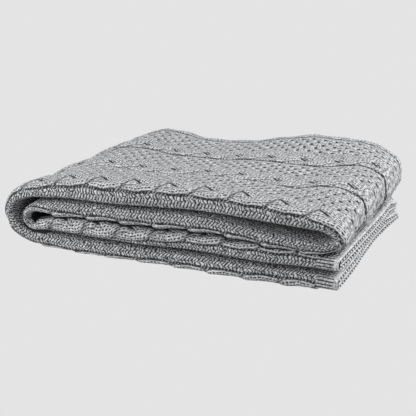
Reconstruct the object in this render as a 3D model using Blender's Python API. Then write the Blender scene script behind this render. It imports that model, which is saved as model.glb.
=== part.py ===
"""A chunky cable-knit throw, folded to quarters across its width and then to quarters
along its length, so that it lies as a stack of four soft bands of four plies each.

It is one continuous cloth and one solid. A flat grid holds its two directions: along
the knitting, which follows the side view of the stack, and round the cut section of a
band, which follows the four plies. Each point of the grid is then put in its place.

Metres, +Z up. X runs along the folded length with the two turned-over ends at -X and
the two ribbed ends at +X, Y runs across it with the rounded edge at -Y, and the origin
is the middle of the underside.
"""

import math
from typing import NamedTuple

import bmesh
import bpy
import numpy as np

MM = 0.001

# The folded cloth.
FOLDED_WIDTH = 305 * MM
PLY = 4.2 * MM
PLY_GAP = 0.9 * MM
PLY_PITCH = PLY + PLY_GAP
ROUNDED_EDGE = 9.0 * MM  # how far the outer ply's fold reaches past the flat of a band
ROUNDED_EDGE_FULLNESS = 2.7  # of its oval: 2 is an ellipse, and more is squarer
INNER_EDGE = 3.6 * MM
SELVEDGE_STEP = 3.0 * MM  # the two loose side edges stop short of the fold above them

# The sampling of a band across its width, and the finer faces that hold the cables.
FLAT_STEPS = 5
OUTER_TURN_STEPS = 6
INNER_TURN_STEPS = 4
FAR_TURN_STEPS = 4
RELIEF_CUTS = 5

# The knitted pattern, across the width: a gutter, a cable and a dotted panel.
REPEAT = 97 * MM
CABLE_MIDDLE = 27 * MM
CABLE_HALF_WIDTH = 21 * MM
CABLE_HEIGHT = 3.4 * MM
CABLE_CROSSING = 51 * MM
CABLE_SLANT = 0.30  # how far a lobe leans along the cable, as a share of a crossing
GUTTER_DEPTH = 1.3 * MM
GUTTER_HALF_WIDTH = 6 * MM

WOOL_COLOUR = (0.40, 0.40, 0.405, 1.0)


class Station(NamedTuple):
    """A place on the middle line of the band, seen from the side of the stack."""

    x_mm: float
    z_mm: float
    loft: float  # thickness of the band here, as a share of its full thickness
    steps: int  # faces from here to the next place


class Lift(NamedTuple):
    """Shares by which the stack stands higher than its path."""

    x_mm: float
    near_edge: float
    near_middle: float
    far_middle: float
    far_edge: float
    low_far_edge: float  # the far edge's share for the lower bands


class EndShift(NamedTuple):
    """How far the two lower bands' ribbed ends lie from their straight line."""

    y_mm: float
    lowest_mm: float
    third_mm: float


BAND_PATH = [
    # lowest band, from its ribbed end back to the outer turn
    Station(225, 8.8, 0.90, 1),
    Station(190, 9.5, 1.00, 2),
    Station(70, 9.5, 1.00, 2),
    Station(-60, 9.5, 1.00, 2),
    Station(-160, 9.6, 0.98, 1),
    # the outer turn, which holds the whole stack
    Station(-190, 12.4, 0.86, 1),
    Station(-209.5, 25.0, 0.75, 1),
    Station(-217.5, 42.5, 0.72, 1),
    Station(-210.5, 58.0, 0.75, 1),
    Station(-190, 69.2, 0.87, 1),
    # top band
    Station(-160, 74.0, 1.00, 2),
    Station(-60, 78.0, 1.00, 2),
    Station(40, 82.0, 1.00, 2),
    Station(130, 81.0, 1.00, 1),
    Station(180, 77.5, 0.90, 1),
    # the turn at the ribbed end, with a hollow inside it
    Station(206, 73.0, 0.75, 1),
    Station(216.5, 66.5, 0.68, 1),
    Station(217.5, 58.0, 0.65, 1),
    Station(206, 51.5, 0.65, 1),
    Station(185, 50.0, 0.68, 1),
    # second band
    Station(150, 52.0, 0.78, 1),
    Station(90, 57.5, 0.95, 1),
    Station(40, 59.3, 1.00, 2),
    Station(-60, 56.5, 1.00, 2),
    Station(-130, 54.5, 0.97, 1),
    Station(-150, 54.4, 0.92, 1),
    Station(-168, 54.2, 0.76, 1),
    # the inner turn, an open loop
    Station(-184, 52.0, 0.48, 1),
    Station(-192.5, 44.5, 0.40, 1),
    Station(-193, 34.0, 0.40, 1),
    Station(-184.5, 26.2, 0.44, 1),
    # third band, out to its ribbed end
    Station(-168, 28.0, 0.70, 1),
    Station(-150, 30.0, 0.93, 1),
    Station(-130, 30.6, 0.98, 1),
    Station(-60, 30.5, 1.00, 2),
    Station(40, 32.3, 1.00, 2),
    Station(130, 32.0, 1.00, 1),
    Station(190, 32.0, 0.97, 1),
    Station(225, 31.7, 0.89, 0),
]
CABLES_SHOW = (10, 18)  # the path's rows between which cables are raised: top band and turn
CABLES_FADE = 12 * MM  # over which they rise at either end

STACK_LIFT = [
    Lift(-225, 0.00, -0.06, -0.10, -0.12, -0.12),
    Lift(-205, 0.00, -0.05, -0.07, -0.09, -0.08),
    Lift(-186, 0.00, -0.03, -0.03, -0.03, -0.02),
    Lift(-174, 0.01, -0.01, 0.00, 0.01, 0.02),
    Lift(-159, 0.02, 0.01, 0.05, 0.06, 0.07),
    Lift(-135, 0.04, 0.02, 0.05, 0.10, 0.10),
    Lift(-100, 0.07, 0.00, 0.02, 0.05, 0.05),
    Lift(-74, 0.075, 0.00, -0.015, 0.00, 0.00),
    Lift(-42, 0.075, 0.00, -0.01, -0.02, -0.02),
    Lift(2, 0.06, 0.00, -0.045, -0.01, -0.01),
    Lift(30, 0.055, 0.00, -0.02, 0.04, 0.04),
    Lift(54, 0.05, 0.00, -0.01, 0.08, 0.08),
    Lift(100, 0.05, -0.01, 0.00, 0.18, 0.15),
    Lift(137, 0.035, -0.02, 0.015, 0.18, 0.11),
    Lift(168, 0.02, 0.07, 0.09, 0.20, 0.06),
    Lift(190, 0.00, 0.12, 0.16, 0.19, 0.01),
    Lift(206, 0.00, 0.11, 0.17, 0.16, -0.04),
    Lift(225, 0.00, 0.14, 0.19, 0.14, -0.06),
]
LIFT_DEPTHS = (-125 * MM, -56 * MM, 41 * MM, 140 * MM)  # the shares grow between these
LIFT_HEIGHTS = (45 * MM, 75 * MM)  # below the first the low shares hold, above the other not
NEAR_LIFT_HEIGHTS = (70 * MM, 88 * MM)  # the near edge is lifted above the first of these

RIBBED_ENDS = [
    EndShift(-154, -3.8, -4.4),
    EndShift(-130, -4.6, -2.8),
    EndShift(-99, -4.2, -2.4),
    EndShift(-67, -5.6, -2.2),
    EndShift(-22, -8.6, -2.4),
    EndShift(10, -9.8, -2.2),
    EndShift(52, -11.2, -3.0),
    EndShift(99, -9.0, -5.0),
    EndShift(124, -5.0, -5.4),
    EndShift(154, 0.5, -4.0),
]
END_LENGTH = 90 * MM  # of cloth over which a ribbed end is shifted and drooped
DROOP_SHARE = 0.42  # of its height that the far corner of the ribbed ends loses
DROOP_X = (200 * MM, 225 * MM)
DROOP_Y = (105 * MM, 150 * MM)
CORNER_PULL = 6.0 * MM  # by which the far corner at the ribbed ends is drawn in
CORNER_X = (100 * MM, 228 * MM)
CORNER_Y = (110 * MM, 158 * MM)

# Each band's near edge wanders in and out a little along the cloth.
EDGE_WANDER = 1.6 * MM
EDGE_WANDER_LENGTH = 170 * MM


def clear_scene() -> None:
    """Removes every object of the scene."""
    for obj in list(bpy.data.objects):
        bpy.data.objects.remove(obj, do_unlink=True)


def smooth_step(value: float) -> float:
    """Goes from 0 to 1 with level ends as the value goes from 0 to 1."""
    value = min(max(value, 0.0), 1.0)
    return value * value * (3 - 2 * value)


class BandPath:
    """The smooth middle line of the band through the stations, in X and Z."""

    def __init__(self, stations: list[Station]) -> None:
        self.rows = np.array([(s.x_mm * MM, s.z_mm * MM, s.loft) for s in stations])
        chords = np.hypot(*np.diff(self.rows[:, :2], axis=0).T)
        self.knots = np.concatenate([[0.0], np.cumsum(chords)])
        self.slopes = np.gradient(self.rows, self.knots, axis=0)

    def at(self, length: float) -> np.ndarray:
        """X, Z and loft at a length along the chords."""
        row = int(np.clip(np.searchsorted(self.knots, length) - 1, 0, len(self.knots) - 2))
        span = self.knots[row + 1] - self.knots[row]
        t = (length - self.knots[row]) / span
        return (
            (2 * t**3 - 3 * t**2 + 1) * self.rows[row]
            + (t**3 - 2 * t**2 + t) * span * self.slopes[row]
            + (3 * t**2 - 2 * t**3) * self.rows[row + 1]
            + (t**3 - t**2) * span * self.slopes[row + 1]
        )

    def frame(self, length: float) -> tuple[np.ndarray, np.ndarray, float]:
        """The point, the normal of the band's patterned side, and the loft."""
        nudge = 0.1 * MM
        here = self.at(length)
        ahead = self.at(min(length + nudge, self.knots[-1]))
        behind = self.at(max(length - nudge, 0.0))
        along = (ahead - behind)[:2]
        along /= np.hypot(*along)
        return here[:2], np.array([-along[1], along[0]]), float(here[2])

    def lengths(self, stations: list[Station]) -> np.ndarray:
        """The length along the chords at each row of faces."""
        found = []
        for row, station in enumerate(stations[:-1]):
            ends = self.knots[row], self.knots[row + 1]
            found += list(np.linspace(*ends, station.steps, endpoint=False))
        return np.array(found + [self.knots[-1]])


def turn(
    middle: tuple[float, float],
    reach: float,
    rise: float,
    steps: int,
    fullness: float = 2.0,
) -> list[tuple[float, float]]:
    """Half an oval past a band's edge, from the side of +rise to that of -rise.

    Args:
        middle: its middle, across the width and through the thickness.
        reach: how far it goes past the middle across the width, with its sign.
        rise: half its height through the thickness, with its sign.
        steps: number of faces round it.
        fullness: 2 for an ellipse, and more for a squarer turn.
    """
    angles = np.linspace(0, math.pi, steps + 1)
    out = reach * np.abs(np.sin(angles)) ** (2 / fullness)
    up = rise * np.sign(np.cos(angles)) * np.abs(np.cos(angles)) ** (2 / fullness)
    return [(middle[0] + a, middle[1] + b) for a, b in zip(out, up)]


def ply_line() -> list[tuple[float, float]]:
    """The middle line of the cloth through the four plies of a band, selvedge to selvedge."""
    near = -FOLDED_WIDTH / 2 + ROUNDED_EDGE + PLY / 2
    far = FOLDED_WIDTH / 2 - PLY_PITCH / 2 - PLY / 2
    outer, inner = 1.5 * PLY_PITCH, 0.5 * PLY_PITCH
    flat = np.linspace(near, far, FLAT_STEPS + 1)[1:-1]
    inner_turn = turn((near, 0.0), -INNER_EDGE, -inner, INNER_TURN_STEPS)
    far_turn = turn((far, PLY_PITCH), PLY_PITCH / 2, -PLY_PITCH / 2, FAR_TURN_STEPS)
    outer_turn = turn(
        (near, 0.0), -ROUNDED_EDGE, outer, OUTER_TURN_STEPS, ROUNDED_EDGE_FULLNESS
    )
    line = [(far + PLY_PITCH / 2 - SELVEDGE_STEP, -inner)]
    line += [(far - SELVEDGE_STEP, -inner)] + [(y, -inner) for y in flat[::-1]]
    line += inner_turn + [(y, inner) for y in flat]
    line += far_turn + [(y, outer) for y in flat[::-1]]
    line += outer_turn + [(y, -outer) for y in flat]
    line += [(far - SELVEDGE_STEP, -outer), (far + PLY_PITCH / 2 - SELVEDGE_STEP, -outer)]
    return line


def outline_of(line: list[tuple[float, float]]) -> np.ndarray:
    """The closed cut section of the cloth: the patterned side along it, then the other back."""
    points = np.array(line)
    steps = np.diff(points, axis=0)
    steps /= np.hypot(*steps.T)[:, None]
    before = np.vstack([steps[:1], steps])
    after = np.vstack([steps, steps[-1:]])
    mean = before + after
    mean /= np.hypot(*mean.T)[:, None]
    mitre = PLY / 2 / np.sum(mean * before, axis=1, keepdims=True)
    patterned = np.stack([mean[:, 1], -mean[:, 0]], axis=1) * mitre
    return np.concatenate([points + patterned, (points - patterned)[::-1]])


def cable_relief(along: float, across: float) -> float:
    """How far the pattern stands out of the cloth.

    Args:
        along: distance along the knitting.
        across: distance from the near edge over the patterned side.
    """
    within = across % REPEAT
    gutter = min(within, REPEAT - within) / GUTTER_HALF_WIDTH
    if gutter < 1:
        return -GUTTER_DEPTH * math.cos(gutter * math.pi / 2)
    offset = (within - CABLE_MIDDLE) / CABLE_HALF_WIDTH
    if abs(offset) >= 1:
        return 0.0
    half = 0.0 if offset < 0 else 0.5
    phase = along / CABLE_CROSSING + half + CABLE_SLANT * abs(offset)
    lobe = abs(math.sin(math.pi * phase)) ** 0.7
    crown = math.cos(offset * math.pi / 2) ** 0.6
    furrow = 1 - 0.5 * math.exp(-((offset / 0.16) ** 2))
    return CABLE_HEIGHT * crown * furrow * (0.25 + 0.75 * lobe)


def ramp(value: float, span: tuple[float, float]) -> float:
    """Goes from 0 to 1 with level ends as the value crosses the span."""
    return smooth_step((value - span[0]) / (span[1] - span[0]))


def lift(x: float, y: float, z: float) -> float:
    """The share by which heights grow here."""
    rows = np.array(STACK_LIFT)
    near, *high = [float(np.interp(x, rows[:, 0] * MM, shares)) for shares in rows.T[1:5]]
    low = float(np.interp(x, rows[:, 0] * MM, rows[:, 5]))
    upper = ramp(z, LIFT_HEIGHTS)
    share = 1 + near * ramp(z, NEAR_LIFT_HEIGHTS) * (1 - ramp(y, LIFT_DEPTHS[:2]))
    before = 0.0
    for target, span in zip(high, zip(LIFT_DEPTHS, LIFT_DEPTHS[1:])):
        share += (target - before) * ramp(y, span) * upper
        before = target
    return share + (1 - upper) * low * ramp(y, (LIFT_DEPTHS[1], LIFT_DEPTHS[3]))


def settled(x: float, y: float, z: float, from_ends: tuple[float, float]) -> tuple:
    """A point of the stack after its far edge and its ribbed ends have settled.

    Args:
        x: towards the ribbed ends.
        y: away from the rounded edge.
        z: upwards.
        from_ends: length of cloth from here to the lowest and to the third band's end.
    """
    z *= lift(x, y, z)
    rows = np.array(RIBBED_ENDS)
    for column, length in enumerate(from_ends, start=1):
        share = 1 - ramp(length, (0.0, END_LENGTH))
        x += share * float(np.interp(y, rows[:, 0] * MM, rows[:, column])) * MM
        z *= 1 - share * DROOP_SHARE * ramp(x, DROOP_X) * ramp(y, DROOP_Y)
    x -= CORNER_PULL * ramp(x, CORNER_X) * ramp(y, CORNER_Y)
    return x, y, max(z, 0.0)


def raised(value: float, low: float, high: float, fade: float) -> float:
    """1 well inside a range, falling to 0 at its ends."""
    return smooth_step(min(value - low, high - value) / fade)


def divide_faces(bm: bmesh.types.BMesh, columns: tuple, rows: tuple) -> None:
    """Cuts the flat grid's faces finer between these columns and rows."""
    edges = set()
    for face in bm.faces:
        middle = face.calc_center_median()
        if columns[0] < middle.x < columns[1] and rows[0] < middle.y < rows[1]:
            edges.update(face.edges)
    bmesh.ops.subdivide_edges(bm, edges=list(edges), cuts=RELIEF_CUTS, use_grid_fill=True)


def cloth_mesh() -> bmesh.types.BMesh:
    """The whole folded cloth as one closed mesh."""
    path = BandPath(BAND_PATH)
    lengths = path.lengths(BAND_PATH)
    outline = outline_of(ply_line())
    count = len(outline)

    # A flat grid first: a column for each length along the cloth, a row for each point
    # of the section, and the first row again at the end so that the section closes.
    bm = bmesh.new()
    bmesh.ops.create_grid(bm, x_segments=len(lengths) - 1, y_segments=count, size=0.5)
    for vert in bm.verts:
        vert.co.x = (vert.co.x + 0.5) * (len(lengths) - 1)
        vert.co.y = (vert.co.y + 0.5) * count

    # The flat of the outer ply's patterned side, from the far turn to the rounded edge.
    flat_start = 2 * FLAT_STEPS + INNER_TURN_STEPS + FAR_TURN_STEPS + 1
    flat_stop = flat_start + FLAT_STEPS
    shown = [path.knots[row] for row in CABLES_SHOW]
    columns = [float(np.argmin(abs(lengths - length))) for length in shown]
    divide_faces(bm, columns, (flat_start, flat_stop))

    closed = np.vstack([outline, outline[:1]])
    travelled = np.concatenate([[0.0], np.cumsum(np.hypot(*np.diff(closed, axis=0).T))])
    near_edge = travelled[flat_stop + OUTER_TURN_STEPS // 2]
    far_edge = travelled[flat_start]
    near_flat = travelled[flat_stop]
    indices = np.arange(count + 1)
    for vert in bm.verts:
        column, row = vert.co.x, vert.co.y
        length = float(np.interp(column, np.arange(len(lengths)), lengths))
        round_section = float(np.interp(row, indices, travelled))
        point, normal, loft = path.frame(length)
        y = float(np.interp(row, indices, closed[:, 0]))
        depth = float(np.interp(row, indices, closed[:, 1])) * loft
        if columns[0] < column < columns[1] and flat_start < row < flat_stop:
            depth += (
                cable_relief(length, near_edge - round_section)
                * raised(length, *shown, CABLES_FADE)
                * raised(round_section, far_edge, near_flat, CABLES_FADE / 2)
            )
        x = point[0] + normal[0] * depth
        z = point[1] + normal[1] * depth
        y += EDGE_WANDER * math.sin(length / EDGE_WANDER_LENGTH * math.tau)
        vert.co = settled(x, y, z, (length, lengths[-1] - length))

    bmesh.ops.remove_doubles(bm, verts=bm.verts, dist=0.02 * MM)
    ends = [edge for edge in bm.edges if edge.is_boundary]
    bmesh.ops.holes_fill(bm, edges=ends, sides=0)
    bmesh.ops.triangulate(bm, faces=bm.faces)
    bmesh.ops.recalc_face_normals(bm, faces=bm.faces)
    centre_on_origin(bm)
    return bm


def centre_on_origin(bm: bmesh.types.BMesh) -> None:
    """Puts the middle of the cloth's extent in X and Y on the origin."""
    points = np.array([vert.co for vert in bm.verts])
    middle = (points.min(axis=0) + points.max(axis=0)) / 2
    bmesh.ops.translate(bm, verts=bm.verts, vec=(-middle[0], -middle[1], 0.0))


def wool() -> bpy.types.Material:
    """Soft grey marled yarn."""
    material = bpy.data.materials.new("grey_wool")
    material.use_nodes = True
    shader = material.node_tree.nodes["Principled BSDF"]
    shader.inputs["Base Color"].default_value = WOOL_COLOUR
    shader.inputs["Roughness"].default_value = 0.95
    shader.inputs["Metallic"].default_value = 0.0
    return material


def make_blanket() -> bpy.types.Object:
    """The folded throw."""
    mesh = bpy.data.meshes.new("blanket")
    bm = cloth_mesh()
    bm.to_mesh(mesh)
    bm.free()
    mesh.shade_smooth()
    mesh.set_sharp_from_angle(angle=math.radians(60))
    mesh.materials.append(wool())
    blanket = bpy.data.objects.new("blanket", mesh)
    bpy.context.scene.collection.objects.link(blanket)
    return blanket


clear_scene()
make_blanket()
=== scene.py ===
"""A chunky cable-knit throw in grey marl wool, folded to quarters both ways.

The folded cloth is one mesh. A flat grid is cut finer where the knitting shows, and each
of its points is then put in its place: along the knitting, which follows the stack's side
view, and round the cut section of a band, which follows its four plies. The cables with
their slits, the seams, the dotted panels and the ribbed ends stand out of the mesh or are
sunk in it, and the wool's stitches follow the same two directions in its material. The
material paints shade dark into the yarn's low places, its slits, seams, holes and creases,
and into the gaps between the layers and inside the inner loop.

Metres, +Z up. X runs along the folded length with the two turned-over ends at -X, and Y
across it with the rounded edge at -Y.
"""

import logging
import math
from dataclasses import dataclass, field
from enum import Enum, IntEnum
from typing import NamedTuple, Union

import bmesh
import bpy
import numpy as np
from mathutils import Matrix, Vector
from mathutils.bvhtree import BVHTree


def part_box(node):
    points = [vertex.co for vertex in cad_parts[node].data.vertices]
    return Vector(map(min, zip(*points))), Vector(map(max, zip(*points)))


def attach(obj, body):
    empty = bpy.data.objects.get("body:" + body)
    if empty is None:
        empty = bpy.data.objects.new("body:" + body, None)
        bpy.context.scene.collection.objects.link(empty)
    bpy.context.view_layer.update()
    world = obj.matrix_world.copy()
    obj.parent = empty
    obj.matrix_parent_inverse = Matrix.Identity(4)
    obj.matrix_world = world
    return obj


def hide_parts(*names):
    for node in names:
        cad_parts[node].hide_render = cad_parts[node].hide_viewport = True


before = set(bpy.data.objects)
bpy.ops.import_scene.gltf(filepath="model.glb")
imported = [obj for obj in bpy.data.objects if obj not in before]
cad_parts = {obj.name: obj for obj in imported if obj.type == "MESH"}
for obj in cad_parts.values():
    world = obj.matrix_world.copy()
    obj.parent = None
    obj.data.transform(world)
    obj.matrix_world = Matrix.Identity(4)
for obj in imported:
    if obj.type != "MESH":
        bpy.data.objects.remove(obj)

log = logging.getLogger("throw")

MM = 0.001
NODE = "blanket"
BODY = "root"
SAME = 1e-3  # numbers of the flat grid that lie closer than this are the same
TINY = 1e-6  # keeps a division from failing

NODES_IN_A_ROW = 12
NODE_STEP = (180, 220)

Pair = tuple[float, float]
Colour = tuple[float, float, float, float]
Socket = bpy.types.NodeSocket
Sockets = bpy.types.bpy_prop_collection
Value = Union[float, Socket]
Tone = Union[Colour, Socket]


# ---------------------------------------------------------------------------
# The folded shape
# ---------------------------------------------------------------------------


class Station(NamedTuple):
    """A place on the middle line of the band, seen from the side of the stack."""

    x_mm: float
    z_mm: float
    loft: float  # thickness of the band here, as a share of its full thickness
    roll_mm: float  # how far the pattern has rolled over the rounded edge
    steps: int  # coarse faces from here to the next place


class Lift(NamedTuple):
    """Shares by which the stack stands higher than its path."""

    x_mm: float
    near_edge: float
    near_middle: float
    far_middle: float
    far_edge: float
    low_far_edge: float  # the far edge's share for the lower bands


class EndShift(NamedTuple):
    """How far the two lower bands' ribbed ends lie from their straight line."""

    y_mm: float
    lowest_mm: float
    third_mm: float


BAND_PATH = (
    # lowest band, from its ribbed end back to the outer turn
    Station(225, 8.8, 0.90, 7, 1),
    Station(190, 9.5, 1.00, 7, 4),
    Station(70, 9.5, 1.00, 5, 4),
    Station(-60, 9.5, 1.00, 2, 3),
    Station(-160, 9.6, 0.98, 0, 2),
    # the outer turn, which holds the whole stack
    Station(-190, 12.4, 0.86, 0, 2),
    Station(-209.5, 25.0, 0.75, 0, 2),
    Station(-217.5, 42.5, 0.72, 0, 2),
    Station(-210.5, 58.0, 0.75, 0, 2),
    Station(-190, 69.2, 0.87, 0, 2),
    # top band
    Station(-160, 74.0, 1.00, 0, 3),
    Station(-60, 78.0, 1.00, 0, 3),
    Station(40, 82.0, 1.00, 0, 3),
    Station(130, 81.0, 1.00, 0, 2),
    Station(180, 77.5, 0.90, 0, 2),
    # the turn at the ribbed end, with a hollow inside it
    Station(206, 73.0, 0.75, 0, 2),
    Station(216.5, 66.5, 0.68, 0, 2),
    Station(217.5, 58.0, 0.65, 0, 2),
    Station(206, 51.5, 0.65, 0, 2),
    Station(185, 50.0, 0.68, 1, 2),
    # second band
    Station(150, 52.0, 0.78, 2, 2),
    Station(90, 57.5, 0.95, 2, 2),
    Station(40, 59.3, 1.00, 2, 3),
    Station(-60, 56.5, 1.00, 2, 3),
    Station(-130, 54.5, 0.97, 3, 1),
    Station(-150, 54.4, 0.92, 4, 1),
    Station(-168, 54.2, 0.76, 6, 2),
    # the inner turn, an open loop
    Station(-184, 52.0, 0.48, 8, 1),
    Station(-192.5, 44.5, 0.40, 9, 1),
    Station(-193, 34.0, 0.40, 10, 1),
    Station(-184.5, 26.2, 0.44, 11, 1),
    # third band, out to its ribbed end
    Station(-168, 28.0, 0.70, 12, 1),
    Station(-150, 30.0, 0.93, 13, 1),
    Station(-130, 30.6, 0.98, 13, 3),
    Station(-60, 30.5, 1.00, 11, 3),
    Station(40, 32.3, 1.00, 4, 3),
    Station(130, 32.0, 1.00, 0, 2),
    Station(190, 32.0, 0.97, 0, 1),
    Station(225, 31.7, 0.89, 0, 0),
)
FINE_TOP = (4, 21)  # the path's rows between which the outer ply is fine all over

STACK_LIFT = (
    Lift(-225, 0.00, -0.06, -0.10, -0.12, -0.12),
    Lift(-205, 0.00, -0.05, -0.07, -0.09, -0.08),
    Lift(-186, 0.00, -0.03, -0.03, -0.03, -0.02),
    Lift(-174, 0.01, -0.01, 0.00, 0.01, 0.02),
    Lift(-159, 0.02, 0.01, 0.05, 0.06, 0.07),
    Lift(-135, 0.04, 0.02, 0.05, 0.10, 0.10),
    Lift(-100, 0.07, 0.00, 0.02, 0.05, 0.05),
    Lift(-74, 0.075, 0.00, -0.015, 0.00, 0.00),
    Lift(-42, 0.075, 0.00, -0.01, -0.02, -0.02),
    Lift(2, 0.06, 0.00, -0.045, -0.01, -0.01),
    Lift(30, 0.055, 0.00, -0.02, 0.04, 0.04),
    Lift(54, 0.05, 0.00, -0.01, 0.08, 0.08),
    Lift(100, 0.05, -0.01, 0.00, 0.18, 0.15),
    Lift(137, 0.035, -0.02, 0.015, 0.18, 0.11),
    Lift(168, 0.02, 0.07, 0.09, 0.20, 0.06),
    Lift(190, 0.00, 0.12, 0.16, 0.19, 0.01),
    Lift(206, 0.00, 0.11, 0.17, 0.16, -0.04),
    Lift(225, 0.00, 0.14, 0.19, 0.14, -0.06),
)
LIFT_DEPTHS = (-125 * MM, -56 * MM, 41 * MM, 140 * MM)  # the shares grow between these
LIFT_HEIGHTS = (45 * MM, 75 * MM)  # below the first the low shares hold, above the other not
NEAR_LIFT_HEIGHTS = (70 * MM, 88 * MM)  # the near edge is lifted above the first of these

RIBBED_ENDS = (
    EndShift(-154, -3.8, -4.4),
    EndShift(-130, -4.6, -2.8),
    EndShift(-99, -4.2, -2.4),
    EndShift(-67, -5.6, -2.2),
    EndShift(-22, -8.6, -2.4),
    EndShift(10, -9.8, -2.2),
    EndShift(52, -11.2, -3.0),
    EndShift(99, -9.0, -5.0),
    EndShift(124, -5.0, -5.4),
    EndShift(154, 0.5, -4.0),
)


def smooth_step(values: np.ndarray) -> np.ndarray:
    """Goes from 0 to 1 with level ends as each value goes from 0 to 1."""
    values = np.clip(values, 0.0, 1.0)
    return values * values * (3 - 2 * values)


def ramp(values: np.ndarray, low: float, high: float) -> np.ndarray:
    """Goes from 0 to 1 with level ends as each value goes from low to high."""
    return smooth_step((values - low) / (high - low))


class BandPath:
    """The smooth middle line of the band through its stations, in X and Z."""

    def __init__(self, stations: tuple[Station, ...]) -> None:
        """Works out the curve.

        Args:
            stations: the places that it goes through, in their order.
        """
        self.stations = stations
        rows = [(s.x_mm * MM, s.z_mm * MM, s.loft, s.roll_mm * MM) for s in stations]
        self.rows = np.array(rows)
        chords = np.hypot(*np.diff(self.rows[:, :2], axis=0).T)
        self.knots = np.concatenate([[0.0], np.cumsum(chords)])
        self.slopes = np.gradient(self.rows, self.knots, axis=0)

    @property
    def total(self) -> float:
        """The cloth's length."""
        return float(self.knots[-1])

    def at(self, lengths: np.ndarray) -> np.ndarray:
        """The band at each length along the cloth.

        Args:
            lengths: lengths along the cloth.

        Returns:
            Rows of X, Z, loft and roll.
        """
        row = np.clip(np.searchsorted(self.knots, lengths) - 1, 0, len(self.knots) - 2)
        span = self.knots[row + 1] - self.knots[row]
        t = ((lengths - self.knots[row]) / span)[:, None]
        span = span[:, None]
        return (
            (2 * t**3 - 3 * t**2 + 1) * self.rows[row]
            + (t**3 - 2 * t**2 + t) * span * self.slopes[row]
            + (3 * t**2 - 2 * t**3) * self.rows[row + 1]
            + (t**3 - t**2) * span * self.slopes[row + 1]
        )

    def frames(self, lengths: np.ndarray) -> tuple[np.ndarray, ...]:
        """The band's place and direction at each length.

        Args:
            lengths: lengths along the cloth.

        Returns:
            The points, the normals of the patterned side, the lofts and the rolls.
        """
        nudge = 0.1 * MM
        here = self.at(lengths)
        along = self.at(np.minimum(lengths + nudge, self.total))
        along = (along - self.at(np.maximum(lengths - nudge, 0.0)))[:, :2]
        along /= np.hypot(*along.T)[:, None]
        normals = np.stack([-along[:, 1], along[:, 0]], axis=1)
        return here[:, :2], normals, here[:, 2], here[:, 3]

    def coarse_lengths(self) -> np.ndarray:
        """The lengths between the coarse columns of faces.

        Returns:
            The lengths, from 0 to the whole cloth.
        """
        found: list[float] = []
        for row, station in enumerate(self.stations[:-1]):
            ends = self.knots[row], self.knots[row + 1]
            found += list(np.linspace(*ends, station.steps, endpoint=False))
        return np.array(found + [self.total])


class PlyRun(NamedTuple):
    """A stretch of the cloth's middle line through the plies, seen from the band's end."""

    points: list[Pair]  # across the width, and through the thickness
    faces: int  # coarse faces along it


@dataclass(frozen=True)
class PlySection:
    """The cut section of a band: one cloth in four plies, selvedge to selvedge."""

    width: float = 305 * MM
    ply: float = 4.2 * MM
    pitch: float = 5.1 * MM
    rounded_edge: float = 9.0 * MM
    inner_edge: float = 3.6 * MM
    selvedge_step: float = 3.0 * MM
    near_strip: float = 22 * MM  # the flat beside the rounded edge that shows in the gaps
    turn_points: int = 32
    fullness: float = 2.7  # of the rounded edge's oval
    flat_faces: int = 5  # coarse faces along a flat, round a turn and round the outer edge
    turn_faces: int = 4
    edge_faces: int = 6

    @property
    def near(self) -> float:
        """Where the flats end and the rounded edge begins."""
        return -self.width / 2 + self.rounded_edge + self.ply / 2

    @property
    def far(self) -> float:
        """Where the flats end and the far turn begins."""
        return self.width / 2 - self.pitch / 2 - self.ply / 2

    def turn(
        self,
        middle: Pair,
        reach: float,
        rise: float,
        faces: int,
        fullness: float = 2.0,
    ) -> PlyRun:
        """Half an oval past a band's edge, from the side of +rise to that of -rise.

        Args:
            middle: its middle, across the width and through the thickness.
            reach: how far it goes past the middle across the width, with its sign.
            rise: half its height through the thickness, with its sign.
            faces: coarse faces round it.
            fullness: 2 for an ellipse, and more for a squarer turn.

        Returns:
            The run.
        """
        angles = np.linspace(0, math.pi, self.turn_points + 1)
        power = 2 / fullness
        out = reach * np.abs(np.sin(angles)) ** power
        up = rise * np.sign(np.cos(angles)) * np.abs(np.cos(angles)) ** power
        return PlyRun([(middle[0] + a, middle[1] + b) for a, b in zip(out, up)], faces)

    @staticmethod
    def flat(height: float, start: float, stop: float, faces: int = 1) -> PlyRun:
        """A straight run at one height between two places across the width."""
        return PlyRun([(start, height), (stop, height)], faces)

    def runs(self) -> list[PlyRun]:
        """The cloth through the four plies.

        Returns:
            The runs in their order from one selvedge to the other.
        """
        outer, inner, half = 1.5 * self.pitch, 0.5 * self.pitch, self.pitch / 2
        near, far, strip = self.near, self.far, self.near + self.near_strip
        edge, tip = far - self.selvedge_step, far + half - self.selvedge_step
        flat, turn = self.flat_faces, self.turn_faces
        return [
            self.flat(-inner, tip, edge),
            self.flat(-inner, edge, strip, flat),
            self.flat(-inner, strip, near),
            self.turn((near, 0.0), -self.inner_edge, -inner, turn),
            self.flat(inner, near, strip),
            self.flat(inner, strip, far, flat),
            self.turn((far, self.pitch), half, -half, turn),
            self.flat(outer, far, strip, flat),
            self.flat(outer, strip, near),
            self.turn((near, 0.0), -self.rounded_edge, outer, self.edge_faces, self.fullness),
            self.flat(-outer, near, strip),
            self.flat(-outer, strip, edge, flat),
            self.flat(-outer, edge, tip),
        ]


class Run(IntEnum):
    """Numbers of the runs that show, in the order of PlySection.runs."""

    FAR_TURN = 6
    FLAT = 7
    NEAR_STRIP = 8
    OUTER_TURN = 9
    UNDER_STRIP = 10


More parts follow.
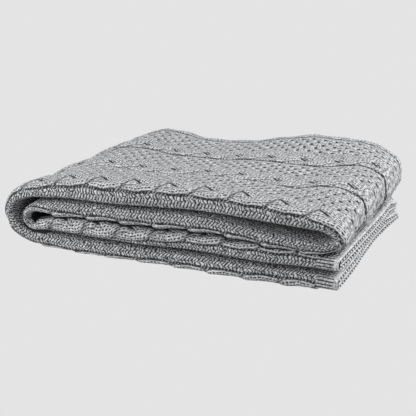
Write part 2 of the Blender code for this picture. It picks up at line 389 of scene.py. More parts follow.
class SectionMap:
    """Turns a coarse row number round the section into a place in the section."""

    def __init__(self, section: PlySection) -> None:
        """Lays the runs end to end, and the cloth's other side after them.

        Args:
            section: the sizes of the cut section.
        """
        runs = section.runs()
        points: list[Pair] = []
        rows: list[float] = []
        self.starts = [0]
        for run in runs:
            stops = np.linspace(0, run.faces, len(run.points)) + self.starts[-1]
            fresh = 1 if points else 0
            points += run.points[fresh:]
            rows += list(stops[fresh:])
            self.starts.append(self.starts[-1] + run.faces)
        last = self.starts[-1]
        self.count = 2 * last + 2

        line = np.array(points)
        steps = np.diff(line, axis=0)
        steps /= np.hypot(*steps.T)[:, None]
        mean = np.vstack([steps[:1], steps]) + np.vstack([steps, steps[-1:]])
        mean /= np.hypot(*mean.T)[:, None]
        outward = np.stack([mean[:, 1], -mean[:, 0]], axis=1)

        # Across the knitting, measured on the patterned side, with 0 at the rounded edge.
        face = line + outward * section.ply / 2
        travelled = np.concatenate([[0.0], np.cumsum(np.hypot(*np.diff(face, axis=0).T))])
        nose = self.starts[Run.OUTER_TURN] + runs[Run.OUTER_TURN].faces / 2
        across = np.interp(nose, rows, travelled) - travelled

        self.rows = np.concatenate([rows, [2 * last + 1 - row for row in rows[::-1]]])
        self.rows = np.append(self.rows, self.count)
        self.line = self.there_and_back(line, line)
        self.outward = self.there_and_back(outward, -outward)
        self.across = self.there_and_back(across, across)
        self.other_side = self.there_and_back(np.zeros(len(rows)), np.ones(len(rows)))

    @staticmethod
    def there_and_back(there: np.ndarray, back: np.ndarray) -> np.ndarray:
        """Values on the patterned side, then on the other side, then the first again."""
        return np.concatenate([there, back[::-1], there[:1]])

    def interpolated(self, values: np.ndarray, rows: np.ndarray) -> np.ndarray:
        """Values of the section at any row numbers.

        Args:
            values: a number or a pair for each of the section's places.
            rows: the row numbers.

        Returns:
            The numbers or pairs there.
        """
        if values.ndim == 1:
            return np.interp(rows, self.rows, values)
        return np.stack([np.interp(rows, self.rows, part) for part in values.T], axis=1)


# ---------------------------------------------------------------------------
# The knitted pattern
# ---------------------------------------------------------------------------


@dataclass(frozen=True)
class Slit:
    """A short opening between two strands, once at each crossing, sunk in the mesh and painted dark
    as shade.
    """

    along: float  # from the crossing to its middle
    within: float  # from the start of the repeat to its middle
    half_length: float
    slope: float  # its angle to the cloth's length
    depth: float  # as a share of the deepest
    near: bool  # on the cable of the rounded edge, or on all the others


@dataclass(frozen=True)
class Pattern:
    """Sizes of the knitting, across a repeat of one cable and one dotted panel.

    A pair is a ramp's two ends, from where a feature is absent to where it is full.
    """

    repeat: float = 97 * MM
    seam: float = 7.0 * MM  # the dotted line beside each cable
    near_seam: float = 8.6 * MM  # at the rounded edge, where two lobes meet
    seam_swing: float = 2.6 * MM  # how far each lobe pushes it out there
    seam_fade: Pair = (60 * MM, 35 * MM)  # across, towards the near seam
    second_seam: Pair = (60 * MM, 65 * MM)  # across, past the near seam
    third_seam: Pair = (157 * MM, 152 * MM)  # across, before the third seam
    drawn_in: Pair = (830 * MM, 780 * MM)  # along, where the second seam is faint
    lobe_power: float = 0.6  # of the lobes' outline: less than 1 gives them flat sides
    cable_middle: float = 28 * MM
    crossing: float = 46.8 * MM
    first_crossing: float = 24.5 * MM
    cable_lean: float = 0.03  # by which the crossings fall back across the cloth
    strands: int = 3
    swing_start: float = 0.25  # of a crossing
    abruptness: float = 0.85  # of the crossings: at 0 the strands swing evenly
    strand_swing: float = 11.8 * MM
    strand_half_width: float = 10.4 * MM
    crown_power: float = 0.34  # of a strand's round back: less than 1 makes it fuller
    slits: tuple[Slit, ...] = (
        Slit(4.5 * MM, 20.0 * MM, half_length=12.0 * MM, slope=1.12, depth=0.64, near=True),
        Slit(14.5 * MM, 28.5 * MM, half_length=9.5 * MM, slope=-0.55, depth=1.0, near=True),
        Slit(18.2 * MM, 22.0 * MM, half_length=7.5 * MM, slope=-0.42, depth=0.9, near=False),
    )
    slit_half_width: float = 2.5 * MM
    slit_taper: float = 3.0 * MM  # over which each end closes
    near_cable: Pair = (90 * MM, 75 * MM)  # across, where the first one lies
    inner_cloth: Pair = (1200 * MM, 1300 * MM)  # along, where slits are shut
    panel: Pair = (49.5 * MM, 97 * MM)  # from its one side to its other
    panel_fade: float = 2.0 * MM
    dot_along: float = 16.3 * MM
    dot_across: float = 9.4 * MM
    dot_lean: float = 7.0 * MM  # of each row of dots along the cloth from the row before
    dot_start: float = 11.4 * MM
    dot_stretch: float = 1.6  # of each hole across the cloth
    dot_round: Pair = (800 * MM, 870 * MM)  # along, towards holes that are not stretched
    first_dot: float = 54.5 * MM
    deep_dots: Pair = (560 * MM, 800 * MM)  # along, from faint holes to deep
    zigzag: float = 11.0 * MM  # width of two rows of strokes on the plain wall
    zigzag_start: float = 6.0 * MM
    wale: float = 4.8 * MM
    cable_wale: float = 3.5 * MM
    course: float = 4.4 * MM
    rib: float = 4.8 * MM
    end_loop: float = 8.8 * MM
    border: float = 27 * MM  # length of the ribbed ends
    top: Pair = (20 * MM, 35 * MM)  # where the plain wall turns into the top


@dataclass(frozen=True)
class Relief:
    """How far each feature stands out of the cloth."""

    pattern: Pattern = field(default_factory=Pattern)
    strand: float = 2.9 * MM
    over_under: float = 1.4 * MM
    seam_depth: float = 0.8 * MM
    seam_half_width: float = 2.4 * MM
    dot_depth: float = 0.9 * MM
    slit_depth: float = 1.5 * MM
    far_flattening: float = 0.6  # of the cable at the far edge
    far_reach: Pair = (280 * MM, 300 * MM)  # across, towards the far edge
    rib_depth: float = 0.5 * MM
    rib_sink: float = 0.3  # of their depth, by which the ribs are let into the cloth
    rib_fade: float = 4.0 * MM
    softness: float = 0.5 * MM
    waves: Pair = (83 * MM, 61 * MM)  # their lengths along and across
    wave_skew: float = 5.0  # turn of the waves along, per metre across
    slanting_waves: Pair = (137 * MM, 95 * MM)

    def cable(self, turns: np.ndarray, offset: np.ndarray) -> np.ndarray:
        """Height of the three plaited strands.

        Args:
            turns: number of crossings up to here.
            offset: distance from the cable's middle.

        Returns:
            The height of the strand on top, or 0 beside the cable.
        """
        pattern = self.pattern
        third = math.tau / pattern.strands
        best = np.zeros(len(turns))
        for strand in range(pattern.strands):
            turn = turns - strand
            steps = turn + pattern.abruptness * np.sin(2 * math.tau * turn) / (2 * math.tau)
            middle = pattern.strand_swing * np.sin(third * (steps - pattern.swing_start))
            level = np.cos(2 * third * turn)
            inside = 1 - ((offset - middle) / pattern.strand_half_width) ** 2
            crown = np.maximum(inside, 0.0) ** pattern.crown_power
            best = np.maximum(best, crown * (self.strand + self.over_under * level))
        return best

    def slits(self, turns: np.ndarray, across: np.ndarray) -> np.ndarray:
        """How open the cables' slits are, from 0 to 1.

        Args:
            turns: number of crossings up to here.
            across: distance from the rounded edge.

        Returns:
            The shares.
        """
        pattern = self.pattern
        open_share = np.zeros(len(turns))
        near = ramp(across, *pattern.near_cable)
        for slit in pattern.slits:
            x = turns - slit.along / pattern.crossing
            x = (x - np.round(x)) * pattern.crossing
            y = np.mod(across, pattern.repeat) - slit.within
            cosine, sine = math.cos(slit.slope), math.sin(slit.slope)
            lengthwise, aside = np.abs(x * cosine + y * sine), np.abs(y * cosine - x * sine)
            length = smooth_step((slit.half_length - lengthwise) / pattern.slit_taper)
            width = smooth_step(1 - aside / (2 * pattern.slit_half_width))
            here = near if slit.near else 1 - near
            open_share = np.maximum(open_share, slit.depth * length * width * here)
        return open_share

    def seam(self, turns: np.ndarray, across: np.ndarray, within: np.ndarray) -> np.ndarray:
        """How deep the furrow beside each cable is, from 0 to 1.

        Args:
            turns: number of crossings up to here.
            across: distance from the rounded edge.
            within: distance from the start of the repeat.

        Returns:
            The shares.
        """
        pattern = self.pattern
        lobe = np.abs(np.sin(math.pi * turns)) ** pattern.lobe_power
        seam = pattern.near_seam - pattern.seam_swing * lobe
        seam = pattern.seam + (seam - pattern.seam) * ramp(across, *pattern.seam_fade)
        return smooth_step(1 - np.abs(within - seam) / self.seam_half_width)

    def dimples(self, along: np.ndarray, across: np.ndarray, within: np.ndarray) -> np.ndarray:
        """The dotted panel's dimples.

        Args:
            along: distance along the cloth.
            across: distance from the rounded edge.
            within: distance from the start of the repeat.

        Returns:
            Shares of their depth, up to 1 in a dimple and less than 0 between two.
        """
        pattern = self.pattern
        row = (within - pattern.first_dot) / pattern.dot_across
        place = (along - pattern.dot_start - row * pattern.dot_lean) / pattern.dot_along
        dots = np.cos(math.tau * place) * (0.5 + 0.5 * np.cos(math.tau * row))
        inside = np.minimum(within - pattern.panel[0], pattern.panel[1] - within)
        inside = smooth_step(inside / pattern.panel_fade + 0.5)
        return dots * inside * ramp(across, *pattern.top)

    def unevenness(self, along: np.ndarray, across: np.ndarray) -> np.ndarray:
        """Low waves of the soft cloth.

        Args:
            along: distance along the cloth.
            across: distance from the rounded edge.

        Returns:
            Their heights.
        """
        long, wide = self.waves
        waves = np.sin(math.tau * along / long + self.wave_skew * across)
        waves *= np.cos(math.tau * across / wide)
        long, wide = self.slanting_waves
        waves += np.sin(math.tau * (along / long - across / wide))
        return self.softness * waves / 2

    def at(self, along: np.ndarray, across: np.ndarray, total: float) -> np.ndarray:
        """Height of the pattern on the patterned side.

        Args:
            along: distance along the cloth.
            across: distance from the rounded edge.
            total: the cloth's length.

        Returns:
            The heights, less than 0 in a furrow.
        """
        pattern = self.pattern
        within = np.mod(across, pattern.repeat)
        turns = along - pattern.first_crossing - pattern.cable_lean * across
        turns = turns / pattern.crossing
        height = self.cable(turns, within - pattern.cable_middle)
        height *= 1 - self.far_flattening * ramp(across, *self.far_reach)
        height -= self.slit_depth * self.slits(turns, across)
        height -= self.seam_depth * self.seam(turns, across, within)
        height -= self.dot_depth * self.dimples(along, across, within)
        to_end = np.minimum(along, total - along)
        ribbed = smooth_step((pattern.border - to_end) / self.rib_fade)
        ribs = np.abs(np.cos(math.pi * across / pattern.rib)) - self.rib_sink
        height = height * (1 - ribbed) + self.rib_depth * ribs * ribbed
        return height + self.unevenness(along, across)


# ---------------------------------------------------------------------------
# The throw's mesh
# ---------------------------------------------------------------------------


class ClothData(Enum):
    """Names of what the mesh keeps for its wool."""

    MAP = "cloth"
    OTHER_SIDE = "other_side"
    # how close the next layer lies, from which the wool paints shade in the gaps and the inner loop
    GAP_SHADE = "tucked"


def points_of(mesh: bpy.types.Mesh) -> np.ndarray:
    """The mesh's points.

    Args:
        mesh: any mesh.

    Returns:
        A row of X, Y and Z for each point.
    """
    points = np.empty(len(mesh.vertices) * 3, np.float32)
    mesh.vertices.foreach_get("co", points)
    return points.reshape(-1, 3)


@dataclass
class FoldedThrow:
    """The folded cloth."""

    section: PlySection = field(default_factory=PlySection)
    relief: Relief = field(default_factory=Relief)
    cell: float = 2.0 * MM
    end_columns: tuple[float, ...] = (0.6 * MM, 1.5 * MM, 3.0 * MM)  # from each end
    end_rounding: float = 2.6 * MM
    blunt_end: float = 0.3  # of the ply's thickness, left at its very end
    edge_pinch: float = 0.13  # of each band's thickness, lost at its rounded edge
    pinch_reach: Pair = (16 * MM, 5 * MM)  # inwards and outwards of the flats
    edge_wander: float = 1.6 * MM
    edge_wander_length: float = 170 * MM
    end_length: float = 90 * MM
    droop_share: float = 0.42
    droop_x: Pair = (200 * MM, 225 * MM)
    droop_y: Pair = (105 * MM, 150 * MM)
    corner_pull: float = 6.0 * MM
    corner_x: Pair = (100 * MM, 228 * MM)
    corner_y: Pair = (110 * MM, 158 * MM)
    fade_faces: float = 0.5  # coarse faces over which the relief fades out
    weld: float = 0.005 * MM
    # the next two set the gap attribute from which the wool paints shade between the layers
    gap_skip: float = 0.3 * MM  # how far off the cloth the look for the next layer starts
    gap_reach: float = 30 * MM
    roll_middle: Pair = (-178 * MM, 40.5 * MM)  # of the inner loop, X and Z, inside which shade is painted
    roll_radius: float = 27 * MM
    roll_mouth: Pair = (-153 * MM, -146 * MM)  # Y over which the painted shade inside the loop sets in

    def __post_init__(self) -> None:
        """Works out the band's path, its section and the flat grid's columns."""
        self.path = BandPath(BAND_PATH)
        self.map = SectionMap(self.section)
        inner = self.path.coarse_lengths()[1:-1]
        ends = np.array((0.0,) + self.end_columns)
        self.lengths = np.concatenate([ends, inner, self.path.total - ends[::-1]])

    def fine_areas(self) -> list[tuple[Pair, Pair]]:
        """The parts of the flat grid that show and so are cut finer.

        Returns:
            The column range and the row range of each.
        """
        starts = self.map.starts
        first, last = (self.column_at(self.path.knots[row]) for row in FINE_TOP)
        border = len(self.end_columns)
        whole = border, len(self.lengths) - 1 - border
        return [
            ((first, last), (starts[Run.FAR_TURN], starts[Run.UNDER_STRIP + 1])),
            (whole, (starts[Run.NEAR_STRIP], starts[Run.UNDER_STRIP + 1])),
            (whole, (starts[Run.FAR_TURN], starts[Run.FLAT])),
        ]

    def column_at(self, length: float) -> float:
        """The coarse column nearest to a length."""
        return float(np.argmin(abs(self.lengths - length)))

    def cut_edges(self, bm: bmesh.types.BMesh, axis: int, sizes: np.ndarray) -> None:
        """Cuts the edges that run along one axis of the flat grid, in the fine areas.

        Args:
            bm: the flat grid.
            axis: 0 for the columns, 1 for the rows.
            sizes: the real size of each coarse column or row.
        """
        areas = self.fine_areas()
        groups: dict[int, list[bmesh.types.BMEdge]] = {}
        for edge in bm.edges:
            a, b = (vert.co for vert in edge.verts)
            if abs(a[1 - axis] - b[1 - axis]) > SAME:
                continue
            x, y = (a.x + b.x) / 2, (a.y + b.y) / 2
            for (left, right), (low, high) in areas:
                if left - SAME <= x <= right + SAME and low - SAME <= y <= high + SAME:
                    cuts = round(sizes[int((x, y)[axis])] / self.cell) - 1
                    groups.setdefault(cuts, []).append(edge)
                    break
        for cuts, edges in groups.items():
            if cuts > 0:
                bmesh.ops.subdivide_edges(bm, edges=edges, cuts=cuts, use_grid_fill=True)

    def flat_grid(self) -> bpy.types.Mesh:
        """The grid before it is folded.

        Returns:
            A mesh whose X is the column number and whose Y is the row number.
        """
        columns, rows = len(self.lengths) - 1, self.map.count
        bm = bmesh.new()
        bmesh.ops.create_grid(bm, x_segments=columns, y_segments=rows, size=0.5)
        for vert in bm.verts:
            vert.co.x = round((vert.co.x + 0.5) * columns)
            vert.co.y = round((vert.co.y + 0.5) * rows)
        numbers = np.arange(rows + 1)
        placed = self.map.interpolated(self.map.line, numbers)
        placed += self.map.interpolated(self.map.outward, numbers) * self.section.ply / 2
        self.cut_edges(bm, 0, np.diff(self.lengths))
        self.cut_edges(bm, 1, np.hypot(*np.diff(placed, axis=0).T))
        mesh = bpy.data.meshes.new("folded_throw")
        bm.to_mesh(mesh)
        bm.free()
        return mesh

    def shown(self, columns: np.ndarray, rows: np.ndarray) -> np.ndarray:
        """Where the relief stands.

        Args:
            columns: the column number of each point.
            rows: its row number.

        Returns:
            1 inside the fine areas and 0 outside, fading over the last of their faces.
        """
        shown = np.zeros(len(columns))
        for (left, right), (low, high) in self.fine_areas():
            inside = np.minimum(columns - left, right - columns)
            inside = np.minimum(inside, np.minimum(rows - low, high - rows))
            shown = np.maximum(shown, smooth_step(inside / self.fade_faces))
        return shown

    @staticmethod
    def lift(x: np.ndarray, y: np.ndarray, z: np.ndarray) -> np.ndarray:
        """How much the stack swells from place to place.

        Args:
            x: places along the stack.
            y: places across it.
            z: heights before the swelling.

        Returns:
            The share by which each height grows.
        """
        rows = np.array(STACK_LIFT)
        upper = ramp(z, *LIFT_HEIGHTS)
        near = np.interp(x, rows[:, 0] * MM, rows[:, 1])
        share = 1 + near * ramp(z, *NEAR_LIFT_HEIGHTS) * (1 - ramp(y, *LIFT_DEPTHS[:2]))
        before = 0.0
        for shares, low, high in zip(rows.T[2:5], LIFT_DEPTHS, LIFT_DEPTHS[1:]):
            target = np.interp(x, rows[:, 0] * MM, shares)
            share += (target - before) * ramp(y, low, high) * upper
            before = target
        low = np.interp(x, rows[:, 0] * MM, rows[:, 5])
        return share + (1 - upper) * low * ramp(y, LIFT_DEPTHS[1], LIFT_DEPTHS[3])

    def settled(self, places: np.ndarray, along: np.ndarray) -> np.ndarray:
        """The stack's points after its far edge and its ribbed ends have settled.

        Args:
            places: a row of X, Y and Z for each point.
            along: the length of cloth from the lowest band's end to each point.

        Returns:
            The settled rows.
        """
        x, y, z = places.T
        z = z * self.lift(x, y, z)
        rows = np.array(RIBBED_ENDS)
        for part, length in ((1, along), (2, self.path.total - along)):
            share = 1 - ramp(length, 0.0, self.end_length)
            x = x + share * np.interp(y, rows[:, 0] * MM, rows[:, part]) * MM
            droop = ramp(x, *self.droop_x) * ramp(y, *self.droop_y)
            z = z * (1 - share * self.droop_share * droop)
        x = x - self.corner_pull * ramp(x, *self.corner_x) * ramp(y, *self.corner_y)
        return np.stack([x, y, np.maximum(z, 0.0)], axis=1)

    def folded(self, mesh: bpy.types.Mesh) -> None:
        """Puts each point of the flat grid in its place, and notes where it is on the cloth.

        Args:
            mesh: the flat grid.
        """
        columns, rows = points_of(mesh).T[:2]
        along = np.interp(columns, np.arange(len(self.lengths)), self.lengths)
        across = self.map.interpolated(self.map.across, rows)
        other_side = self.map.interpolated(self.map.other_side, rows)
        outward = self.map.interpolated(self.map.outward, rows)
        outward /= np.maximum(np.hypot(*outward.T)[:, None], TINY)

        points, normals, lofts, rolls = self.path.frames(along)
        across = across + rolls
        to_end = np.minimum(along, self.path.total - along) / self.end_rounding
        rounding = np.sqrt(np.maximum(1 - (1 - np.minimum(to_end, 1.0)) ** 2, 0.0))
        half_ply = self.section.ply / 2 * np.maximum(rounding, self.blunt_end)
        height = self.relief.at(along, across, self.path.total) * (1 - other_side)
        height *= self.shown(columns, rows) * rounding

        line = self.map.interpolated(self.map.line, rows)
        y = line[:, 0] + outward[:, 0] * (half_ply + height)
        inwards, outwards = self.pinch_reach
        edge = -self.section.near
        pinch = 1 - self.edge_pinch * ramp(-y, edge - inwards, edge + outwards)
        depth = (line[:, 1] + outward[:, 1] * half_ply) * lofts * pinch + outward[:, 1] * height
        x = points[:, 0] + normals[:, 0] * depth
        z = points[:, 1] + normals[:, 1] * depth
        y += self.edge_wander * np.sin(along / self.edge_wander_length * math.tau)
        places = self.settled(np.stack([x, y, z], axis=1), along)
        mesh.vertices.foreach_set("co", places.astype(np.float32).ravel())
        self.note(mesh, along, across, other_side)

    def note(
        self, mesh: bpy.types.Mesh, along: np.ndarray, across: np.ndarray, other: np.ndarray
    ) -> None:
        """Keeps each point's place on the cloth for the wool.

        Args:
            mesh: the folded mesh.
            along: distance along the cloth, kept as U.
            across: distance from the rounded edge, kept as V.
            other: 1 on the side without the pattern.
        """
        layer = mesh.uv_layers.new(name=ClothData.MAP.value)
        corners = np.empty(len(mesh.loops), np.int32)
        mesh.loops.foreach_get("vertex_index", corners)
        places = np.stack([along, across], axis=1)[corners]
        layer.uv.foreach_set("vector", places.astype(np.float32).ravel())
        side = mesh.attributes.new(ClothData.OTHER_SIDE.value, "FLOAT", "POINT")
        side.data.foreach_set("value", other.astype(np.float32))

    def closed(self, mesh: bpy.types.Mesh) -> None:
        """Joins the first and last rows, closes the ends and turns the faces outwards.

        Args:
            mesh: the folded mesh.
        """
        bm = bmesh.new()
        bm.from_mesh(mesh)
        bmesh.ops.remove_doubles(bm, verts=bm.verts, dist=self.weld)
        ends = [edge for edge in bm.edges if edge.is_boundary]
        bmesh.ops.holes_fill(bm, edges=ends, sides=0)
        bmesh.ops.triangulate(bm, faces=[face for face in bm.faces if len(face.verts) > 4])
        bmesh.ops.recalc_face_normals(bm, faces=bm.faces)
        bm.to_mesh(mesh)
        bm.free()

    def fitted(self, mesh: bpy.types.Mesh, low: Vector, high: Vector) -> None:
        """Centres the mesh on the model's solid in X and Y.

        Args:
            mesh: the closed mesh.
            low: the solid's lowest corner.
            high: its highest corner.
        """
        points = points_of(mesh)
        middle = (points.min(axis=0) + points.max(axis=0)) / 2
        points[:, 0] += (low.x + high.x) / 2 - middle[0]
        points[:, 1] += (low.y + high.y) / 2 - middle[1]
        mesh.vertices.foreach_set("co", points.ravel())
        mesh.update()

    def note_gap_shade(self, mesh: bpy.types.Mesh) -> None:
        """Keeps how close the next layer lies to each point: 1 where they touch, 0 far off.

        Inside the inner loop it is 1 too, past the loop's mouth. The wool reads it to paint shade
        into the gaps between the layers and into the loop's hole.

        Args:
            mesh: the closed mesh.
        """
        bm = bmesh.new()
        bm.from_mesh(mesh)
        tree = BVHTree.FromBMesh(bm)
        layer = bm.verts.layers.float.new(ClothData.GAP_SHADE.value)
        roll = Vector((self.roll_middle[0], 0.0, self.roll_middle[1]))
        shallow, deep = self.roll_mouth
        for vert in bm.verts:
            start = vert.co + vert.normal * self.gap_skip
            *_, gap = tree.ray_cast(start, vert.normal, self.gap_reach)
            if gap is not None:
                vert[layer] = 1 - gap / self.gap_reach
            inwards = roll - vert.co
            inwards.y = 0.0
            if inwards.length < self.roll_radius and inwards.dot(vert.normal) > 0:
                inside = min(max((vert.co.y - shallow) / (deep - shallow), 0.0), 1.0)
                vert[layer] = max(vert[layer], inside)
        bm.to_mesh(mesh)
        bm.free()

    def build(self) -> bpy.types.Object:
        """The throw without its wool.

        Returns:
            One object, its place in its mesh.
        """
        mesh = self.flat_grid()
        self.folded(mesh)
        self.closed(mesh)
        self.note_gap_shade(mesh)
        self.fitted(mesh, *(Vector(corner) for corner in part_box(NODE)))
        mesh.shade_smooth()
        throw = bpy.data.objects.new("folded_throw", mesh)
        bpy.context.scene.collection.objects.link(throw)
        return throw


# ---------------------------------------------------------------------------
# Materials
# ---------------------------------------------------------------------------


class Sums(Enum):
    """The sums that the patterns use."""

    ADD = "ADD"
    TAKE = "SUBTRACT"
    TIMES = "MULTIPLY"
    OVER = "DIVIDE"
    POWER = "POWER"
    SINE = "SINE"
    COSINE = "COSINE"
    ROOT = "SQRT"
    SIZE = "ABSOLUTE"
    LESS = "MINIMUM"
    MORE = "MAXIMUM"
    ABOVE = "GREATER_THAN"
    WRAP = "FLOORED_MODULO"
    PART = "FRACT"
    ROUND = "ROUND"


class NodeSheet:
    """Places nodes in a tree, one after another, and joins them."""

    NUMBERS = (0, 2, 3)  # a mix node's sockets for its share and its two numbers
    COLOURS = (0, 6, 7)  # and for its share and its two colours

    def __init__(self, tree: bpy.types.NodeTree) -> None:
        """Starts on a tree.

        Args:
            tree: the tree that gets the nodes.
        """
        self.tree = tree
        self.placed = 0

    def node(self, kind: str) -> bpy.types.Node:
        """Sets a new node down beside the last.

        Args:
            kind: its type.

        Returns:
            The node.
        """
        node = self.tree.nodes.new(kind)
        row, column = divmod(self.placed, NODES_IN_A_ROW)
        node.location = (column * NODE_STEP[0], -row * NODE_STEP[1])
        self.placed += 1
        return node

    def join(self, value: Union[Value, Tone], socket: Socket) -> None:
        """Links an output to a socket, or sets a number or a colour on it.

        Args:
            value: the output, the number or the colour.
            socket: the socket that gets it.
        """
        if isinstance(value, Socket):
            self.tree.links.new(value, socket)
        else:
            socket.default_value = value

    def sum(self, kind: Sums, *values: Value) -> Socket:
        """One sum.

        Args:
            kind: which sum.
            values: its numbers or outputs.

        Returns:
            The result.
        """
        node = self.node("ShaderNodeMath")
        node.operation = kind.value
        for value, socket in zip(values, node.inputs):
            self.join(value, socket)
        return node.outputs[0]

    def times(self, first: Value, second: Value) -> Socket:
        """The product of two values."""
        return self.sum(Sums.TIMES, first, second)

    def scaled(self, value: Value, factor: float, shift: float) -> Socket:
        """A value times a factor, with a shift added."""
        return self.sum(Sums.ADD, self.times(value, factor), shift)

    def rest(self, value: Value) -> Socket:
        """What is left of 1 when a value is taken away."""
        return self.sum(Sums.TAKE, 1.0, value)

    def size(self, value: Value) -> Socket:
        """The value without its sign."""
        return self.sum(Sums.SIZE, value)

    def power(self, value: Value, power: float) -> Socket:
        """A power of a value, or of 0 where it is less than 0."""
        return self.sum(Sums.POWER, self.sum(Sums.MORE, value, 0.0), power)

    def wave(self, kind: Sums, value: Value, angle: float) -> Socket:
        """The sine or cosine of a value times an angle."""
        return self.sum(kind, self.times(value, angle))

    def from_centre(self, value: Value) -> Socket:
        """How far the part of a value after its point lies from a half."""
        return self.size(self.sum(Sums.TAKE, self.sum(Sums.PART, value), 0.5))

    def from_whole(self, value: Value) -> Socket:
        """What is left of a value when its nearest whole number is taken away."""
        return self.sum(Sums.TAKE, value, self.sum(Sums.ROUND, value))

    def ramp(self, value: Value, low: float, high: float) -> Socket:
        """A smooth step, which may also fall.

        Args:
            value: what is read.
            low: the value that gives 0.
            high: the value that gives 1.

        Returns:
            The step, from 0 to 1.
        """
        node = self.node("ShaderNodeMapRange")
        node.interpolation_type = "SMOOTHSTEP"
        self.join(value, node.inputs["Value"])
        node.inputs["From Min"].default_value = low
        node.inputs["From Max"].default_value = high
        return node.outputs["Result"]

    def mix(self, share: Value, first: Value, second: Value) -> Socket:
        """A number between two.

        Args:
            share: 0 for the first and 1 for the second.
            first: a number.
            second: another.

        Returns:
            The number.
        """
        node = self.node("ShaderNodeMix")
        for value, number in zip((share, first, second), self.NUMBERS):
            self.join(value, node.inputs[number])
        return node.outputs[0]

    def colour_mix(self, share: Value, first: Tone, second: Tone) -> Socket:
        """A colour between two.

        Args:
            share: 0 for the first and 1 for the second.
            first: a colour.
            second: another.

        Returns:
            The colour.
        """
        node = self.node("ShaderNodeMix")
        node.data_type = "RGBA"
        for value, number in zip((share, first, second), self.COLOURS):
            self.join(value, node.inputs[number])
        return node.outputs[2]

    def noise(self, place: Value, scale: float, detail: float) -> Socket:
        """Soft random values.

        Args:
            place: where they are read.
            scale: how many there are in a metre.
            detail: how many finer layers they have.

        Returns:
            Values from 0 to 1.
        """
        node = self.node("ShaderNodeTexNoise")
        self.join(place, node.inputs["Vector"])
        node.inputs["Scale"].default_value = scale
        node.inputs["Detail"].default_value = detail
        return node.outputs["Fac"]

    def kept(self, data: ClothData) -> Socket:
        """A number that the mesh keeps for each of its points.

        Args:
            data: its name.

        Returns:
            The number.
        """
        node = self.node("ShaderNodeAttribute")
        node.attribute_name = data.value
        return node.outputs["Fac"]

    def group(self, tree: bpy.types.NodeTree, **values: Value) -> Sockets:
        """Places a node group.

        Args:
            tree: the group.
            values: what its inputs are given, by their names.

        Returns:
            Its outputs.
        """
        node = self.node("ShaderNodeGroup")
        node.node_tree = tree
        for name, value in values.items():
            self.join(value, node.inputs[name])
        return node.outputs


@dataclass(frozen=True)
class Stitches:
    """The forms of the stitches, in shares of their wale, row, course or strand.

    A power below 1 makes a form fuller. A pair is a ramp's two ends.
    """

    leg_slant: float = 0.9
    leg_power: float = 0.8
    course_power: float = 0.7
    stroke_slant: float = 1.25
    stroke_stagger: float = 0.35
    line_edge: Pair = (0.35, 0.95)  # of the lines between a strand's wales
    hollow_edge: Pair = (0.3, 0.8)  # of the dots on those lines
    line_depth: float = 0.3
    hollow_depth: float = 0.75
    wale_height: float = 0.95
    strand_level: float = 0.67
    strand_swing: float = 0.33
    # A crease is painted shade beside a strand's edge where it lies over a lower strand.
    crease_place: float = 1.06
    crease_edge: Pair = (0.15, 0.05)
    crease_over: Pair = (0.0, 0.3)
    crease_depth: float = 0.58
    slit_core: float = 0.35
    knot_shift: float = 5.0 * MM  # of a raised stitch from its hole
    hole_edge: Pair = (2.6 * MM, 1.1 * MM)


